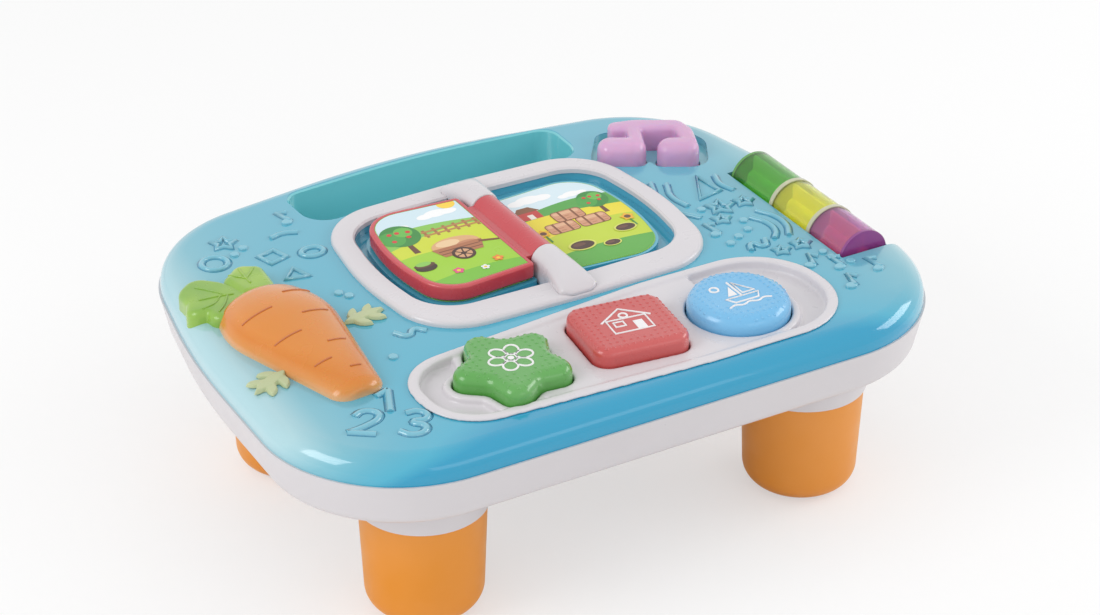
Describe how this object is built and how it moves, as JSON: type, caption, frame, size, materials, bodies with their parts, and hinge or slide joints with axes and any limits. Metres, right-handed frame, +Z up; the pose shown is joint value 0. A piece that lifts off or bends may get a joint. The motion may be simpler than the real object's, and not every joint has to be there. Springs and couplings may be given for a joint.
{
  "type": "activity table",
  "caption": "Low activity table for small children on short round legs, with press buttons, a page that turns, a roller bar and a storage trough.",
  "frame": {"origin": "on the floor, under the middle of the table", "axes": "+X along the long side towards the roller, +Y from the button side towards the trough, +Z up"},
  "size_m": [0.4342, 0.3451, 0.1551],
  "materials": {
    "top_blue": "glossy",
    "base_white": "satin",
    "tray_white": "glossy",
    "leg_orange": "satin",
    "button_green": "glossy",
    "button_red": "glossy",
    "button_blue": "glossy",
    "note_purple": "glossy, translucent",
    "book_red": "glossy",
    "print": "printed card under a clear film",
    "roller_green": "glossy, translucent",
    "roller_yellow": "glossy, translucent",
    "roller_purple": "glossy, translucent",
    "roller_clear": "glossy, translucent",
    "roller_core": "satin",
    "carrot_orange": "glossy",
    "leaf_green": "glossy",
    "sprig_green": "satin",
    "steel": "brushed",
    "board_green": "circuit board",
    "black_plastic": "matte",
    "rubber_grey": "matte",
    "lamp_clear": "clear",
    "battery_jacket": "glossy"
  },
  "bodies": {
    "table": {"top_shell": "top_blue", "base_shell": "base_white", "button_tray": "tray_white", "leg_front_left": "leg_orange", "leg_front_right": "leg_orange", "leg_back_left": "leg_orange", "leg_back_right": "leg_orange", "star_dome": "rubber_grey", "square_dome": "rubber_grey", "round_dome": "rubber_grey", "note_dome": "rubber_grey", "switch_board": "board_green", "note_board": "board_green", "main_board": "board_green", "main_chips": "black_plastic", "book_frame": "tray_white", "page_pin": "steel", "floor_print_left": "print", "floor_print_right": "print", "spine_cap_front": "tray_white", "spine_cap_back": "tray_white", "roller_axle": "steel", "roller_bush_front": "base_white", "roller_bush_back": "base_white", "carrot_body": "carrot_orange", "carrot_leaves": "leaf_green", "sprigs": "sprig_green", "lights": "lamp_clear", "speaker": "black_plastic", "speaker_clamp": "black_plastic", "batteries": "battery_jacket", "battery_contacts": "steel", "battery_door": "base_white", "power_switch": "black_plastic", "case_screws": "steel", "board_screws": "steel", "door_screw": "steel"},
    "page": {"book_page": "book_red", "page_print_top": "print", "page_print_under": "print"},
    "star": {"star_button": "button_green"},
    "square": {"square_button": "button_red"},
    "round": {"round_button": "button_blue"},
    "note": {"note_button": "note_purple"},
    "roller": {"roller_green": "roller_green", "roller_yellow": "roller_yellow", "roller_purple": "roller_purple", "roller_discs": "roller_clear", "roller_core": "roller_core"},
    "switch_knob": {"power_switch_knob": "black_plastic"}
  },
  "joints": [
    {"name": "page_turn", "type": "hinge", "parent": "table", "child": "page", "pos_m": [0.007, 0, 0.14], "axis": [0, 1, 0], "range_deg": [0, 180]},
    {"name": "star_press", "type": "slide", "parent": "table", "child": "star", "axis": [0, 0, -1], "range_m": [0, 0.003], "stiffness_N_per_m": 800, "springref_m": -0.001, "deforming": ["star_dome"]},
    {"name": "square_press", "type": "slide", "parent": "table", "child": "square", "axis": [0, 0, -1], "range_m": [0, 0.003], "stiffness_N_per_m": 800, "springref_m": -0.001, "deforming": ["square_dome"]},
    {"name": "round_press", "type": "slide", "parent": "table", "child": "round", "axis": [0, 0, -1], "range_m": [0, 0.003], "stiffness_N_per_m": 800, "springref_m": -0.001, "deforming": ["round_dome"]},
    {"name": "note_press", "type": "slide", "parent": "table", "child": "note", "axis": [0, 0, -1], "range_m": [0, 0.003], "stiffness_N_per_m": 800, "springref_m": -0.001, "deforming": ["note_dome"]},
    {"name": "roller_spin", "type": "hinge", "parent": "table", "child": "roller", "pos_m": [0.187, 0, 0.13], "axis": [0, 1, 0], "continuous": true},
    {"name": "power_slide", "type": "slide", "parent": "table", "child": "switch_knob", "axis": [1, 0, 0], "range_m": [0, 0.008]}
  ]
}
